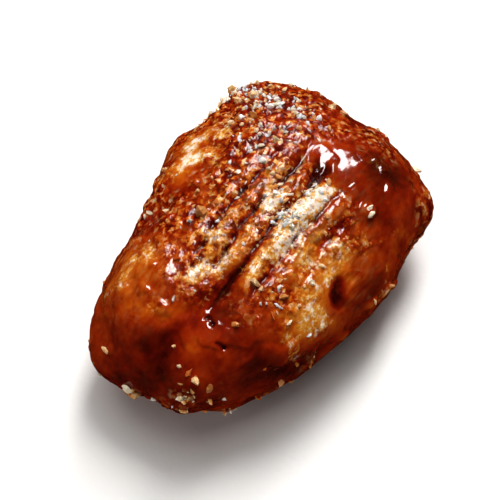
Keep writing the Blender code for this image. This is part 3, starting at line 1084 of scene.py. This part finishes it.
def frost_and_highlight_layer(tree, place, levels):
    """Pale, dry frost, broken up by grain, thickest on the crests and white where it is thick, which on
    the ridges is a painted highlight.
    """
    frost_and_highlight = levels["frost_and_highlight"]
    level = add_node(tree, MATH, [frost_and_highlight, FROST_SPREADS, -FROST_SPREADS / 2], operation="MULTIPLY_ADD")
    level = add_node(tree, MATH, [levels["relief"], FROST_ON_CRESTS, level], operation="MULTIPLY_ADD")
    ragged = add_node(tree, NOISE, pattern_at(place, FROST_GRAIN))
    ragged = add_node(tree, MATH, [ragged, MIDDLE], operation="SUBTRACT")
    cover = add_node(tree, MATH, [ragged, FROST_BREAKS, level], operation="MULTIPLY_ADD")
    cover = add_node(tree, RANGE, [cover, *FROST_COVER])
    fades = add_node(tree, RANGE, [frost_and_highlight, *FROST_FADE])
    cover = add_node(tree, MATH, [cover, fades], operation="MULTIPLY")
    dust = add_node(tree, NOISE, pattern_at(place, FROST_DUST))
    # Thick frost is painted whiter: paler sugar, and a painted highlight on the ridges
    thick = add_node(tree, MATH, [frost_and_highlight, MIDDLE], operation="SUBTRACT")
    dust = add_node(tree, MATH, [thick, FROST_AND_HIGHLIGHT_WHITENS, dust], operation="MULTIPLY_ADD")
    return dust, SUGAR_FROST_AND_HIGHLIGHT, cover


def crust_bump(tree, place, grainy):
    """Grit and soft waves that are too fine for the mesh, where the crust is grainy."""
    grit = add_node(tree, NOISE, pattern_at(place, FINE_GRIT))
    waves = add_node(tree, NOISE, pattern_at(place, SOFT_WAVES))
    depth = add_node(tree, MATH, [waves, WAVE_SHARE, grit], operation="MULTIPLY_ADD")
    depth = add_node(tree, MATH, [depth, grainy], operation="MULTIPLY")
    return add_node(tree, "ShaderNodeBump", {"Height": depth, "Distance": GRIT_DEPTH})


def crust_material(settings):
    """Boiled sugar, cooled hard over nut skin: tan where thin and grainy, nearly black red in pools, and
    darker in its hollows, partly as painted shade.

    Glassy where it ran smooth, so its highlights are small and sharp, and sparkling where it is grainy.
    """
    material, tree, shader = new_material("caramelised_sugar_crust", GLAZE_SOCKETS)
    place = add_node(tree, "ShaderNodeTexCoord").outputs["Object"]
    levels = {
        name: add_node(tree, "ShaderNodeAttribute", attribute_name=name).outputs["Fac"]
        for name in ("sugar", "glaze", "relief", "grain", "skin", "frost_and_highlight", "crystals")
    }
    grainy = add_node(tree, RANGE, [levels["sugar"], *GRAINY_BY_SUGAR])
    base = caramel_film(tree, place, levels, grainy, settings)
    below, above = MIX_COLOURS
    for layer in (skin_layer, grain_layer, frost_and_highlight_layer):
        tone, stops, share = layer(tree, place, levels)
        colour = add_node(tree, RAMP, [tone], stops=stops)
        base = add_node(tree, MIX, {MIX_SHARE: share, below: base, above: colour}, data_type="RGBA")
    rough = add_node(tree, RANGE, [levels["sugar"], *ROUGHNESS_BY_SUGAR])
    bump = crust_bump(tree, place, grainy)
    set_inputs(tree, shader, {"Base Color": base, "Roughness": rough, "Normal": bump})
    return material


def crystal_material(settings):
    """Sugar crystals: clear and glassy, some clean and some stained by the caramel they sit in, and
    whiter where they crowd, which paints a highlight on the bright ridge.
    """
    material, tree, shader = new_material("crystal_sugar", CRYSTAL_SOCKETS)
    shade = add_node(tree, "ShaderNodeAttribute", attribute_name="shade").outputs["Fac"]
    stops = (*STAINED_CRYSTALS, (1.0, settings.clean_crystal))
    colour = add_node(tree, RAMP, [shade], stops=stops)
    set_inputs(tree, shader, {"Base Color": colour})
    return material


def crumb_material(settings):
    """Crumbs of toasted nut and white sugar: dry, pale and chalky, browned here and there."""
    material, tree, shader = new_material("toasted_crumb", CRUMB_SOCKETS)
    place = add_node(tree, "ShaderNodeTexCoord").outputs["Object"]
    shade = add_node(tree, "ShaderNodeAttribute", attribute_name="shade").outputs["Fac"]
    mottle = add_node(tree, NOISE, pattern_at(place, CRUMB_MOTTLE))
    both = add_node(tree, MATH, [mottle, MOTTLE_SHARE, -MOTTLE_SHARE / 2], operation="MULTIPLY_ADD")
    both = add_node(tree, MATH, [both, shade], operation="ADD")
    stops = (*TOASTED_CRUMBS, (1.0, settings.pale_crumb))
    colour = add_node(tree, RAMP, [both], stops=stops)
    bump = add_node(tree, "ShaderNodeBump", {"Height": mottle, "Distance": GRIT_DEPTH})
    set_inputs(tree, shader, {"Base Color": colour, "Normal": bump})
    return material


def card_material(settings):
    """Plain matt white card, with the faint tooth of paper."""
    material, tree, shader = new_material("white_card", CARD_SOCKETS)
    place = add_node(tree, "ShaderNodeTexCoord").outputs["Object"]
    tooth = add_node(tree, NOISE, pattern_at(place, CARD_TOOTH))
    bump = add_node(tree, "ShaderNodeBump", {"Height": tooth, "Distance": CARD_TOOTH_DEPTH})
    set_inputs(tree, shader, {"Base Color": settings.floor_colour, "Normal": bump})
    return material


# Pieces


def new_object(name, data):
    """An object in the scene, at the origin."""
    thing = bpy.data.objects.new(name, data)
    bpy.context.scene.collection.objects.link(thing)
    return thing


def finish_piece(piece):
    """Makes a piece ride on the nut's body."""
    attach(piece, BODY)


def scatter_piece(name, kind, material, largest):
    """A piece of loose grains of one kind, scattered over the finished crust."""
    crust = bpy.data.objects.get(CRUST)
    if crust is None:
        raise RuntimeError("make the crust first")
    piece = new_object(name, crust.data.copy())
    inputs = {**kind["inputs"], "Largest": largest}
    apply_tree(piece, scatter_tree(f"{name}_scatter", kind, material, inputs), inputs)
    finish_piece(piece)


class MESH_OT_almond_crust(bpy.types.Operator):
    """Makes the whole crust of caramelised sugar, which stands for the solid."""

    bl_idname = "mesh.almond_crust"
    bl_label = "Crust"

    def execute(self, context):
        settings = context.scene.candied_almond
        crust = new_object(CRUST, make_crust_form())
        inputs = {
            "Grain Size": settings.grain_size,
            "Grain Height": settings.grain_height,
            "Ripple Size": settings.ripple_size,
            "Ripple Height": settings.ripple_height,
        }
        apply_tree(crust, crust_tree(crust_material(settings), inputs), inputs)
        finish_piece(crust)
        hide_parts(NODE)
        return {"FINISHED"}


class MESH_OT_almond_crystals(bpy.types.Operator):
    """Scatters loose sugar crystals over the crust."""

    bl_idname = "mesh.almond_crystals"
    bl_label = "Crystals"

    def execute(self, context):
        settings = context.scene.candied_almond
        material = crystal_material(settings)
        scatter_piece("sugar_crystals", LOOSE_CRYSTALS, material, settings.crystal_size)
        return {"FINISHED"}


class MESH_OT_almond_crumbs(bpy.types.Operator):
    """Scatters pale crumbs of toasted nut and sugar over the crust."""

    bl_idname = "mesh.almond_crumbs"
    bl_label = "Crumbs"

    def execute(self, context):
        settings = context.scene.candied_almond
        material = crumb_material(settings)
        scatter_piece("toasted_crumbs", LOOSE_CRUMBS, material, settings.crumb_size)
        return {"FINISHED"}


# The stage


class SCENE_OT_almond_stage(bpy.types.Operator):
    """Makes the pale floor, the soft light and the camera."""

    bl_idname = "scene.almond_stage"
    bl_label = "Stage"

    def execute(self, context):
        scene = context.scene
        low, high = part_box(NODE)
        middle = (low + high) / 2

        bpy.ops.mesh.primitive_plane_add(size=FLOOR_SIZE)
        floor = context.object
        floor.name = "floor"
        floor.data.materials.append(card_material(context.scene.candied_almond))
        floor.visible_glossy = False

        world = bpy.data.worlds.new("studio")
        world.use_nodes = True
        background = world.node_tree.nodes["Background"]
        background.inputs["Color"].default_value = hex_colour(WORLD_COLOUR)
        background.inputs["Strength"].default_value = WORLD_STRENGTH
        world.cycles_visibility.glossy = False
        scene.world = world

        for light in LIGHTS:
            add_light(middle, *light)
        add_camera(scene, middle)
        scene.view_settings.view_transform = "Standard"
        scene.view_settings.look = "Medium High Contrast"
        return {"FINISHED"}


def aim(thing, middle, bearing, height_angle, distance):
    """Sets a light or camera away from the nut's middle and turns it to look there."""
    back = direction(bearing, height_angle)
    thing.location = middle + back * distance
    thing.rotation_euler = (-back).to_track_quat("-Z", "Y").to_euler()


def add_light(middle, name, place, size, power, mirrored):
    """An oblong soft light aimed at the nut's middle."""
    light = bpy.data.lights.new(name, "AREA")
    light.shape = "RECTANGLE"
    light.size, light.size_y = size
    light.energy = power
    thing = new_object(name, light)
    thing.visible_glossy = mirrored
    aim(thing, middle, *place)


def add_camera(scene, middle):
    """A long lens at the photograph's viewing angle."""
    camera = bpy.data.cameras.new("camera")
    camera.lens = CAMERA_LENS
    camera.clip_start = CAMERA_CLIP
    distance = CAMERA_FIELD * CAMERA_LENS / camera.sensor_width
    scene.camera = new_object("camera", camera)
    aim(scene.camera, middle, CAMERA_BEARING, CAMERA_HEIGHT_ANGLE, distance)


class VIEW3D_PT_candied_almond(bpy.types.Panel):
    """Lists the almond's sizes and the buttons that make its pieces."""

    bl_label = "Candied almond"
    bl_space_type = "VIEW_3D"
    bl_region_type = "UI"
    bl_category = "Candied almond"

    def draw(self, context):
        for name in AlmondSettings.__annotations__:
            self.layout.prop(context.scene.candied_almond, name)
        for operator in OPERATORS:
            self.layout.operator(operator.bl_idname)


OPERATORS = (
    MESH_OT_almond_crust,
    MESH_OT_almond_crystals,
    MESH_OT_almond_crumbs,
    SCENE_OT_almond_stage,
)
CLASSES = (AlmondSettings, *OPERATORS, VIEW3D_PT_candied_almond)


def register():
    """Makes the settings, the operators and the panel known."""
    for each in CLASSES:
        bpy.utils.register_class(each)
    bpy.types.Scene.candied_almond = PointerProperty(type=AlmondSettings)


def unregister():
    """Takes the settings, the operators and the panel away again."""
    del bpy.types.Scene.candied_almond
    for each in reversed(CLASSES):
        bpy.utils.unregister_class(each)


def main():
    """Makes the pieces and the stage in order."""
    register()
    bpy.ops.mesh.almond_crust()
    bpy.ops.mesh.almond_crystals()
    bpy.ops.mesh.almond_crumbs()
    bpy.ops.scene.almond_stage()


if __name__ == "__main__":
    main()
